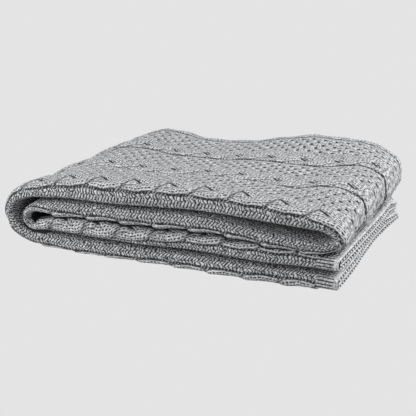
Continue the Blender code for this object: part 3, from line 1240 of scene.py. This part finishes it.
class StitchGroups:
    """The shader node groups of the knitting, each built once."""

    def __init__(self, pattern: Pattern, stitches: Stitches) -> None:
        """Builds all the groups.

        Args:
            pattern: the sizes of the knitting.
            stitches: the forms of its stitches.
        """
        self.pattern = pattern
        self.stitches = stitches
        self.knit = self.knit_stitch()
        self.zigzag = self.zigzag_strokes()
        self.cable = self.plaited_cable()
        self.dots = self.dotted_panel()
        self.slits = tuple(
            self.cable_slit(f"cable_slit_{number}", slit)
            for number, slit in enumerate(pattern.slits, start=1)
        )
        self.rows = self.dotted_rows()

    @staticmethod
    def start(
        name: str, inputs: tuple[str, ...], outputs: tuple[str, ...]
    ) -> tuple[NodeSheet, Sockets, Sockets]:
        """An empty group with number sockets.

        Args:
            name: the group's name.
            inputs: names of its inputs.
            outputs: names of its outputs.

        Returns:
            The sheet to build on, the values given to the group, and the sockets of its
            results.
        """
        tree = bpy.data.node_groups.new(name, "ShaderNodeTree")
        for labels, way in ((inputs, "INPUT"), (outputs, "OUTPUT")):
            for label in labels:
                tree.interface.new_socket(label, in_out=way, socket_type="NodeSocketFloat")
        sheet = NodeSheet(tree)
        given, result = sheet.node("NodeGroupInput"), sheet.node("NodeGroupOutput")
        return sheet, given.outputs, result.inputs

    def knit_stitch(self) -> bpy.types.NodeTree:
        """Columns of V stitches, from the wale and course numbers.

        Returns:
            The group, which gives their height.
        """
        sheet, given, result = self.start("knit_stitch", ("Wales", "Courses"), ("Height",))
        forms = self.stitches
        aside = sheet.from_centre(given["Wales"])
        course = sheet.sum(Sums.ADD, given["Courses"], sheet.times(aside, forms.leg_slant))
        stitch = sheet.wave(Sums.SINE, sheet.sum(Sums.PART, course), math.pi)
        leg = sheet.power(sheet.wave(Sums.COSINE, aside, math.pi), forms.leg_power)
        stitch = sheet.power(stitch, forms.course_power)
        sheet.join(sheet.times(stitch, leg), result["Height"])
        return sheet.tree

    def dotted_rows(self) -> bpy.types.NodeTree:
        """Rows of small dots between a strand's columns of stitches, low places that the wool
        paints dark as shade.

        Returns:
            The group, which gives the yarn's height.
        """
        sheet, given, result = self.start("dotted_rows", ("Wales", "Courses"), ("Height",))
        forms = self.stitches
        across = sheet.wave(Sums.COSINE, given["Wales"], math.pi)
        along = sheet.wave(Sums.COSINE, given["Courses"], math.pi)
        line = sheet.ramp(sheet.times(across, across), *forms.line_edge)
        hollow = sheet.times(line, sheet.ramp(sheet.times(along, along), *forms.hollow_edge))
        hollow = sheet.times(hollow, forms.hollow_depth)
        dark = sheet.sum(Sums.ADD, hollow, sheet.times(line, forms.line_depth))
        sheet.join(sheet.sum(Sums.TAKE, forms.wale_height, dark), result["Height"])
        return sheet.tree

    def zigzag_strokes(self) -> bpy.types.NodeTree:
        """Upright strokes that lean one way and then the other from row to row.

        Returns:
            The group, which gives their height.
        """
        sheet, given, result = self.start("zigzag_strokes", ("Rows", "Courses"), ("Height",))
        forms = self.stitches
        aside = sheet.from_centre(given["Rows"])
        upper = sheet.sum(Sums.ABOVE, sheet.sum(Sums.PART, given["Rows"]), 0.5)
        shift = sheet.sum(
            Sums.ADD,
            sheet.times(aside, forms.stroke_slant),
            sheet.times(upper, forms.stroke_stagger),
        )
        course = sheet.sum(Sums.PART, sheet.sum(Sums.ADD, given["Courses"], shift))
        stroke = sheet.wave(Sums.SINE, course, math.pi)
        turning = sheet.scaled(sheet.wave(Sums.SINE, aside, math.tau), 0.5, 0.5)
        sheet.join(sheet.times(stroke, turning), result["Height"])
        return sheet.tree

    def strand(self, sheet: NodeSheet, turn: Socket, offset: Socket) -> tuple[Socket, ...]:
        """One strand of a plait.

        Args:
            sheet: the plait's own sheet.
            turn: number of crossings up to here, from this strand's start.
            offset: distance from the cable's middle.

        Returns:
            The offset from the strand's middle, its height, its level and its crease of painted
            shade.
        """
        pattern, forms = self.pattern, self.stitches
        third = math.tau / pattern.strands
        step = sheet.wave(Sums.SINE, turn, 2 * math.tau)
        step = sheet.times(step, pattern.abruptness / (2 * math.tau))
        swing = sheet.sum(Sums.TAKE, sheet.sum(Sums.ADD, turn, step), pattern.swing_start)
        middle = sheet.times(sheet.wave(Sums.SINE, swing, third), pattern.strand_swing)
        offset = sheet.sum(Sums.TAKE, offset, middle)
        level = sheet.wave(Sums.COSINE, turn, 2 * third)
        level = sheet.scaled(level, forms.strand_swing, forms.strand_level)
        share = sheet.sum(Sums.OVER, offset, pattern.strand_half_width)
        crown = sheet.power(sheet.rest(sheet.times(share, share)), pattern.crown_power)
        beside = sheet.size(sheet.sum(Sums.TAKE, sheet.size(share), forms.crease_place))
        crease = sheet.ramp(beside, *forms.crease_edge)
        return offset, sheet.times(crown, level), level, crease

    def plaited_cable(self) -> bpy.types.NodeTree:
        """Three plaited strands.

        Returns:
            The group, which gives the offset from the top one's middle, its height and the creases
            of painted shade.
        """
        names = ("Strand Offset", "Height", "Crease")
        sheet, given, result = self.start("plaited_cable", ("Turns", "Offset"), names)
        strands = [
            self.strand(sheet, sheet.sum(Sums.TAKE, given["Turns"], float(number)), given["Offset"])
            for number in range(self.pattern.strands)
        ]
        offset, highest = strands[0][:2]
        for next_offset, height, *_ in strands[1:]:
            above = sheet.sum(Sums.ABOVE, highest, height)
            offset = sheet.mix(above, next_offset, offset)
            highest = sheet.sum(Sums.MORE, highest, height)
        crease: Value = 0.0
        for *_, level, edge in strands:
            over = sheet.sum(Sums.TAKE, level, highest)
            over = sheet.ramp(over, *self.stitches.crease_over)
            crease = sheet.sum(Sums.MORE, crease, sheet.times(edge, over))
        crease = sheet.times(crease, self.stitches.crease_depth)
        for name, value in zip(names, (offset, highest, crease)):
            sheet.join(value, result[name])
        return sheet.tree

    def cable_slit(self, name: str, slit: Slit) -> bpy.types.NodeTree:
        """One of the cables' slits, once at each crossing.

        Args:
            name: the group's name.
            slit: its place and size.

        Returns:
            The group, whose Open is 1 in the slit and 0 beside it.
        """
        pattern = self.pattern
        sheet, given, result = self.start(name, ("Turns", "Within", "Near"), ("Open",))
        x = sheet.sum(Sums.TAKE, given["Turns"], slit.along / pattern.crossing)
        x = sheet.times(sheet.from_whole(x), pattern.crossing)
        y = sheet.sum(Sums.TAKE, given["Within"], slit.within)
        cosine, sine = math.cos(slit.slope), math.sin(slit.slope)
        along = sheet.size(sheet.sum(Sums.ADD, sheet.times(x, cosine), sheet.times(y, sine)))
        aside = sheet.size(sheet.sum(Sums.TAKE, sheet.times(y, cosine), sheet.times(x, sine)))
        length = sheet.ramp(along, slit.half_length, slit.half_length - pattern.slit_taper)
        wide = pattern.slit_half_width
        width = sheet.ramp(aside, wide, self.stitches.slit_core * wide)
        here = given["Near"] if slit.near else sheet.rest(given["Near"])
        shown = sheet.times(sheet.times(length, width), here)
        sheet.join(sheet.times(shown, slit.depth), result["Open"])
        return sheet.tree

    def dotted_panel(self) -> bpy.types.NodeTree:
        """Leaning rows of small holes, each with a raised stitch beside it.

        Returns:
            The group, which gives where the holes and the raised stitches are.
        """
        names = ("Hole", "Knot")
        sheet, given, result = self.start("dotted_panel", ("Along", "Within"), names)
        pattern, forms = self.pattern, self.stitches
        row = sheet.sum(Sums.TAKE, given["Within"], pattern.first_dot)
        row = sheet.sum(Sums.OVER, row, pattern.dot_across)
        at_fold = sheet.ramp(given["Along"], *pattern.dot_round)
        width = pattern.dot_across
        width = sheet.mix(at_fold, width / pattern.dot_stretch, width)
        aside = sheet.times(sheet.from_whole(row), width)
        lean = sheet.scaled(sheet.sum(Sums.ROUND, row), pattern.dot_lean, pattern.dot_start)
        place = sheet.sum(Sums.TAKE, given["Along"], lean)
        for name, shift in zip(names, (0.0, forms.knot_shift)):
            dot = sheet.sum(Sums.OVER, sheet.sum(Sums.ADD, place, shift), pattern.dot_along)
            dot = sheet.times(sheet.from_whole(dot), pattern.dot_along)
            reach = sheet.sum(Sums.ADD, sheet.times(dot, dot), sheet.times(aside, aside))
            reach = sheet.sum(Sums.ROOT, reach)
            sheet.join(sheet.ramp(reach, *forms.hole_edge), result[name])
        return sheet.tree


@dataclass(frozen=True)
class YarnLook:
    """How the yarn stands in each stretch of the cloth, from 0 in a gap painted black as shade to
    1.

    A pair is a ramp's two ends, or a factor and a shift where it says so.
    """

    wobble_scale: float = 110.0  # per metre
    wobble: float = 1.5  # of the stitches along the cloth, in courses
    row_wobble: float = 0.6  # of their rows, as a share of that
    uneven_scale: float = 210.0  # per metre
    uneven: Pair = (2.2, -0.1)  # factor and shift, for the strokes' strength
    stroke_edge: Pair = (0.05, 0.80)
    strand_edge: Pair = (0.0, 0.2)
    top_strokes: Pair = (0.5, 0.35)  # factor and shift, on the top's plain strips
    panel_ground: Pair = (0.5, 0.28)  # factor and shift
    knot: float = 0.45
    faint_hole: float = 0.55
    inner_slit: float = 0.84
    crease_beside: float = 0.5  # share of a crease that is left beside the cable
    seam_edge: Pair = (2.1 * MM, 0.8 * MM)
    seam_dots: Pair = (0.5, 0.4)  # factor and shift
    seam_faint: float = 0.8  # share that the second seam loses
    border_fade: float = 3.0 * MM
    rib_edge: Pair = (0.15, 0.75)
    rib_strokes: Pair = (0.5, 0.5)  # factor and shift
    end_length: Pair = (6.0 * MM, 3.5 * MM)
    end_loops: Pair = (0.25, 0.85)
    end_side: Pair = (0.1, 0.6)
    end_height: float = 0.9
    # The last four paint shade where the next layer lies close and inside the inner loop: black
    # past shut, and a lighter shade of strength shade over shaded.
    hanging: float = 0.24  # how far a raised stitch holds the painted gap shade back, as a stitch that hangs over the gap
    shut: Pair = (0.67, 0.72)
    shaded: Pair = (0.25, 0.75)
    shade: float = 0.34


class KnitLayout:
    """Which stitches lie where on the cloth, as the yarn's height from 0 to 1, which the wool also
    paints dark as shade where it is low.
    """

    def __init__(self, sheet: NodeSheet, pattern: Pattern) -> None:
        """Reads what the mesh keeps, and works out the numbers that the stitches share.

        Args:
            sheet: the material's sheet.
            pattern: the sizes of the knitting.
        """
        self.sheet = sheet
        self.pattern = pattern
        self.groups = StitchGroups(pattern, Stitches())
        self.look = YarnLook()
        cloth = sheet.node("ShaderNodeUVMap")
        cloth.uv_map = ClothData.MAP.value
        parts = sheet.node("ShaderNodeSeparateXYZ")
        sheet.join(cloth.outputs["UV"], parts.inputs[0])
        self.along, self.across = parts.outputs[0], parts.outputs[1]
        self.other_side = sheet.kept(ClothData.OTHER_SIDE)
        self.tucked = sheet.kept(ClothData.GAP_SHADE)
        self.uneven = sheet.noise(cloth.outputs["UV"], self.look.uneven_scale, 1.0)
        wobble = sheet.noise(cloth.outputs["UV"], self.look.wobble_scale, 1.0)
        self.wobble = sheet.times(sheet.sum(Sums.TAKE, wobble, 0.5), self.look.wobble)
        self.courses = sheet.sum(Sums.OVER, self.along, pattern.course)
        self.courses = sheet.sum(Sums.ADD, self.courses, self.wobble)
        self.within = sheet.sum(Sums.WRAP, self.across, pattern.repeat)
        lean = sheet.scaled(self.across, pattern.cable_lean, pattern.first_crossing)
        turns = sheet.sum(Sums.TAKE, self.along, lean)
        self.turns = sheet.sum(Sums.OVER, turns, pattern.crossing)
        self.on_top = sheet.ramp(self.across, *pattern.top)
        self.in_panel = self.panel()

    def height(self) -> Socket:
        """The whole cloth's stitches.

        Returns:
            The yarn's height, from 0 in a gap to about 1, with the painted shade of the gaps
            between layers.
        """
        sheet, look = self.sheet, self.look
        zigzag = self.strokes()
        on_cable, crease, knit = self.cable()
        plain = sheet.mix(self.on_top, zigzag, sheet.scaled(zigzag, *look.top_strokes))
        height = sheet.mix(on_cable, plain, knit)
        height = self.dotted(sheet.mix(self.in_panel, height, self.panel_ground()))
        strong = sheet.scaled(on_cable, 1 - look.crease_beside, look.crease_beside)
        open_share = sheet.sum(Sums.MORE, sheet.times(crease, strong), self.seam())
        open_share = sheet.sum(Sums.MORE, open_share, self.slits())
        height = sheet.times(height, sheet.rest(open_share))
        height = sheet.mix(self.other_side, height, zigzag)
        return self.painted_gap_shade(self.ribbed(height))

    def strokes(self) -> Socket:
        """The plain wall's uneven strokes, in rows that lean to and fro.

        Returns:
            Their height.
        """
        sheet, pattern, look = self.sheet, self.pattern, self.look
        rows = sheet.sum(Sums.TAKE, self.across, pattern.zigzag_start)
        rows = sheet.sum(Sums.OVER, rows, pattern.zigzag)
        rows = sheet.sum(Sums.ADD, rows, sheet.times(self.wobble, look.row_wobble))
        strokes = sheet.group(self.groups.zigzag, Rows=rows, Courses=self.courses)["Height"]
        strokes = sheet.times(strokes, sheet.scaled(self.uneven, *look.uneven))
        return sheet.ramp(strokes, *look.stroke_edge)

    def painted_gap_shade(self, height: Socket) -> Socket:
        """Paints shade into the gaps under the next layer and inside the inner loop, with stitches
        that hang over its edge.

        Args:
            height: the yarn's height without the painted shade.

        Returns:
            The height with the painted shade.
        """
        sheet, look = self.sheet, self.look
        tucked = sheet.sum(Sums.TAKE, self.tucked, sheet.times(height, look.hanging))
        shut = sheet.ramp(tucked, *look.shut)
        shaded = sheet.times(sheet.ramp(self.tucked, *look.shaded), look.shade)
        height = sheet.times(height, sheet.rest(shaded))
        return sheet.times(height, sheet.rest(shut))

    def slits(self) -> Socket:
        """The openings between the cables' strands, painted dark as shade.

        Returns:
            How open they are, from 0 to 1.
        """
        sheet, pattern = self.sheet, self.pattern
        near = sheet.ramp(self.across, *pattern.near_cable)
        open_share: Value = 0.0
        for group in self.groups.slits:
            slit = sheet.group(group, Turns=self.turns, Within=self.within, Near=near)
            open_share = sheet.sum(Sums.MORE, open_share, slit["Open"])
        inner = sheet.ramp(self.along, *pattern.inner_cloth)
        return sheet.times(open_share, sheet.mix(inner, 1.0, self.look.inner_slit))

    def cable(self) -> tuple[Socket, ...]:
        """The plait.

        Returns:
            Where it lies, its creases and the height of its stitches.
        """
        sheet, pattern = self.sheet, self.pattern
        offset = sheet.sum(Sums.TAKE, self.within, pattern.cable_middle)
        cable = sheet.group(self.groups.cable, Turns=self.turns, Offset=offset)
        wales = sheet.sum(Sums.OVER, cable["Strand Offset"], pattern.cable_wale)
        knit = sheet.group(self.groups.rows, Wales=wales, Courses=self.courses)["Height"]
        on_cable = sheet.ramp(cable["Height"], *self.look.strand_edge)
        return on_cable, cable["Crease"], knit

    def panel(self) -> Socket:
        """Where the dotted panel is.

        Returns:
            1 in it and 0 beside it.
        """
        sheet, (low, high), fade = self.sheet, self.pattern.panel, self.pattern.panel_fade
        started = sheet.ramp(self.within, low, low + fade)
        not_over = sheet.ramp(self.within, high, high - fade)
        return sheet.times(started, sheet.times(not_over, self.on_top))

    def panel_ground(self) -> Socket:
        """The stitches between the holes.

        Returns:
            Their height.
        """
        sheet = self.sheet
        wales = sheet.sum(Sums.OVER, self.across, self.pattern.wale)
        knit = sheet.group(self.groups.knit, Wales=wales, Courses=self.courses)["Height"]
        return sheet.scaled(knit, *self.look.panel_ground)

    def dotted(self, height: Socket) -> Socket:
        """Adds the dotted panel's holes, which the wool paints dark as shade, and the knots beside
        them.

        Args:
            height: the yarn's height without them.

        Returns:
            The height with them.
        """
        sheet, look = self.sheet, self.look
        dots = sheet.group(self.groups.dots, Along=self.along, Within=self.within)
        knot = sheet.times(dots["Knot"], sheet.times(self.in_panel, look.knot))
        deep = sheet.ramp(self.along, *self.pattern.deep_dots)
        inside = sheet.times(self.in_panel, sheet.mix(deep, look.faint_hole, 1.0))
        hole = sheet.times(dots["Hole"], inside)
        return sheet.times(sheet.sum(Sums.ADD, height, knot), sheet.rest(hole))

    def seam(self) -> Socket:
        """The dotted line that follows the cable's lobes.

        Returns:
            How open it is, from 0 to 1.
        """
        sheet, pattern, look = self.sheet, self.pattern, self.look
        lobe = sheet.size(sheet.wave(Sums.SINE, self.turns, math.pi))
        lobe = sheet.power(lobe, pattern.lobe_power)
        near = sheet.scaled(lobe, -pattern.seam_swing, pattern.near_seam)
        seam = sheet.mix(sheet.ramp(self.across, *pattern.seam_fade), pattern.seam, near)
        from_seam = sheet.size(sheet.sum(Sums.TAKE, self.within, seam))
        line = sheet.ramp(from_seam, *look.seam_edge)
        dots = sheet.size(sheet.wave(Sums.SINE, self.courses, math.pi))
        line = sheet.times(line, sheet.scaled(dots, *look.seam_dots))
        second = sheet.times(
            sheet.ramp(self.across, *pattern.second_seam),
            sheet.ramp(self.across, *pattern.third_seam),
        )
        faint = sheet.times(second, sheet.ramp(self.along, *pattern.drawn_in))
        return sheet.times(line, sheet.rest(sheet.times(faint, look.seam_faint)))

    def ribbed(self, height: Socket) -> Socket:
        """Adds the ribbed borders and the loops on the cut ends.

        Args:
            height: the yarn's height without them.

        Returns:
            The height with them.
        """
        sheet, pattern, look = self.sheet, self.pattern, self.look
        to_end = sheet.sum(Sums.TAKE, BandPath(BAND_PATH).total, self.along)
        to_end = sheet.sum(Sums.LESS, self.along, to_end)
        border = sheet.ramp(to_end, pattern.border, pattern.border - look.border_fade)
        ribs = sheet.size(sheet.wave(Sums.COSINE, self.across, math.pi / pattern.rib))
        strokes = sheet.size(sheet.wave(Sums.SINE, self.courses, math.pi))
        strokes = sheet.scaled(strokes, *look.rib_strokes)
        height = sheet.mix(border, height, sheet.times(sheet.ramp(ribs, *look.rib_edge), strokes))
        loops = sheet.size(sheet.wave(Sums.COSINE, self.across, math.pi / pattern.end_loop))
        loops = sheet.ramp(loops, *look.end_loops)
        on_face = sheet.ramp(self.other_side, *look.end_side)
        loops = sheet.mix(on_face, look.end_height, loops)
        return sheet.mix(sheet.ramp(to_end, *look.end_length), height, loops)


@dataclass(frozen=True)
class MarlWool:
    """Soft grey marled yarn, knitted, with shade painted dark into its low places."""

    light: Colour = (0.74, 0.75, 0.77, 1.0)
    dark: Colour = (0.29, 0.294, 0.302, 1.0)
    # painted shade: the near-black colour of the yarn's low places and of the gaps between layers
    crevice_shade: Colour = (0.022, 0.022, 0.024, 1.0)
    roughness: float = 0.92
    specular: float = 0.2
    sheen: float = 0.14
    sheen_roughness: float = 0.5
    stitch_depth: float = 1.6 * MM
    fuzz: float = 0.10
    flecks: float = 430.0  # per metre
    fibres: float = 1900.0  # per metre
    fleck_share: float = 0.75  # of the marl, and fibres make up the rest
    marl_edge: Pair = (0.36, 0.62)
    # heights over which the painted shade gives way to the yarn's own colour
    crevice_shade_edge: Pair = (0.05, 0.75)

    def build(self, pattern: Pattern) -> bpy.types.Material:
        """The wool, with its stitches in the cloth's own directions.

        Args:
            pattern: the sizes of the knitting.

        Returns:
            The material.
        """
        material = bpy.data.materials.new("grey_marl_wool")
        material.use_nodes = True
        sheet = NodeSheet(material.node_tree)
        shader = material.node_tree.nodes["Principled BSDF"].inputs
        height = KnitLayout(sheet, pattern).height()

        place = sheet.node("ShaderNodeTexCoord").outputs["Object"]
        flecks = sheet.noise(place, self.flecks, 1.0)
        fibres = sheet.noise(place, self.fibres, 2.0)
        marl = sheet.mix(self.fleck_share, fibres, flecks)
        yarn = sheet.colour_mix(sheet.ramp(marl, *self.marl_edge), self.dark, self.light)
        # Painted shade: where the yarn's height is low, in crevices, slits, seams, holes and gaps,
        # the colour goes to near black.
        colour = sheet.colour_mix(sheet.ramp(height, *self.crevice_shade_edge), self.crevice_shade, yarn)
        sheet.join(colour, shader["Base Color"])

        bump = sheet.node("ShaderNodeBump")
        bump.inputs["Distance"].default_value = self.stitch_depth
        fuzz = sheet.times(fibres, self.fuzz)
        sheet.join(sheet.sum(Sums.ADD, height, fuzz), bump.inputs["Height"])
        sheet.join(bump.outputs["Normal"], shader["Normal"])
        for name, value in (
            ("Roughness", self.roughness),
            ("Specular IOR Level", self.specular),
            ("Sheen Weight", self.sheen),
            ("Sheen Roughness", self.sheen_roughness),
        ):
            shader[name].default_value = value
        return material


def seen_or_shining(
    tree: bpy.types.NodeTree, socket: Socket, seen: float, shining: float
) -> None:
    """Gives a plain surround one strength as it is seen and another as it lights the throw.

    Args:
        tree: the nodes of the surround.
        socket: the strength's socket.
        seen: its strength as it is seen.
        shining: its strength as it lights things.
    """
    sheet = NodeSheet(tree)
    path = sheet.node("ShaderNodeLightPath")
    sheet.join(sheet.mix(path.outputs["Is Camera Ray"], shining, seen), socket)


@dataclass(frozen=True)
class PaleFloor:
    """A plain pale studio floor."""

    colour: Colour = (0.0, 0.0, 0.0, 1.0)
    glow: Colour = (1.0, 1.0, 1.0, 1.0)
    glow_strength: float = 0.776
    shining: float = 0.42
    size: float = 14.0

    def build(self) -> bpy.types.Object:
        """The floor, just below the throw.

        Returns:
            The floor's object.
        """
        mesh = bpy.data.meshes.new("floor")
        bm = bmesh.new()
        bmesh.ops.create_grid(bm, x_segments=1, y_segments=1, size=self.size / 2)
        bm.to_mesh(mesh)
        bm.free()
        material = bpy.data.materials.new("pale_floor")
        material.use_nodes = True
        shader = material.node_tree.nodes["Principled BSDF"]
        shader.inputs["Base Color"].default_value = self.colour
        shader.inputs["Roughness"].default_value = 1.0
        shader.inputs["Specular IOR Level"].default_value = 0.0
        shader.inputs["Emission Color"].default_value = self.glow
        strength = shader.inputs["Emission Strength"]
        seen_or_shining(material.node_tree, strength, self.glow_strength, self.shining)
        mesh.materials.append(material)
        floor = bpy.data.objects.new("floor", mesh)
        bpy.context.scene.collection.objects.link(floor)
        return floor


# ---------------------------------------------------------------------------
# Studio
# ---------------------------------------------------------------------------


@dataclass(frozen=True)
class SoftLight:
    """A square lamp that points at a place."""

    name: str
    place: tuple[float, float, float]
    target: tuple[float, float, float]
    size: float
    watts: float

    def build(self) -> bpy.types.Object:
        """The lamp.

        Returns:
            The lamp's object, which points at its target.
        """
        data = bpy.data.lights.new(self.name, "AREA")
        data.size = self.size
        data.energy = self.watts
        lamp = bpy.data.objects.new(self.name, data)
        lamp.location = self.place
        aim = Vector(self.target) - Vector(self.place)
        lamp.rotation_euler = aim.to_track_quat("-Z", "Y").to_euler()
        bpy.context.scene.collection.objects.link(lamp)
        return lamp


@dataclass(frozen=True)
class Studio:
    """The camera, the soft lights and the pale surroundings."""

    camera_place: tuple[float, float, float] = (0.5114, -1.1742, 0.4308)
    camera_down: float = math.radians(17.35)
    camera_left: float = math.radians(23.7)
    lens: float = 86.9
    sensor: float = 36.0
    surround: Colour = (0.776, 0.776, 0.776, 1.0)
    shining: float = 0.72  # of the surround's brightness, in the light that it gives
    lights: tuple[SoftLight, ...] = (
        SoftLight("key", (1.1, 0.2, 0.8), (0.05, 0.0, 0.05), 0.7, 14.0),
        SoftLight("fill", (-0.85, -0.95, 0.4), (-0.15, -0.15, 0.05), 0.6, 9.2),
    )

    def build(self) -> None:
        """Sets the camera, the lights, the world and the picture's tones."""
        scene = bpy.context.scene
        data = bpy.data.cameras.new("camera")
        data.lens = self.lens
        data.sensor_width = self.sensor
        camera = bpy.data.objects.new("camera", data)
        camera.location = self.camera_place
        camera.rotation_euler = (math.pi / 2 - self.camera_down, 0.0, self.camera_left)
        scene.collection.objects.link(camera)
        scene.camera = camera
        for light in self.lights:
            light.build()
        world = bpy.data.worlds.new("surround")
        world.use_nodes = True
        background = world.node_tree.nodes["Background"]
        background.inputs["Color"].default_value = self.surround
        seen_or_shining(world.node_tree, background.inputs["Strength"], 1.0, self.shining)
        scene.world = world
        scene.view_settings.view_transform = "Standard"
        scene.view_settings.look = "None"


def main() -> None:
    """Builds the studio and the throw."""
    logging.basicConfig(level=logging.INFO, format="%(name)s: %(message)s")
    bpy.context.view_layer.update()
    Studio().build()
    PaleFloor().build()

    throw = FoldedThrow()
    cloth = throw.build()
    cloth.data.materials.append(MarlWool().build(throw.relief.pattern))
    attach(cloth, BODY)
    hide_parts(NODE)
    triangles = sum(len(face.vertices) - 2 for face in cloth.data.polygons)
    log.info("folded_throw: %d triangles", triangles)


if __name__ == "__main__":
    main()
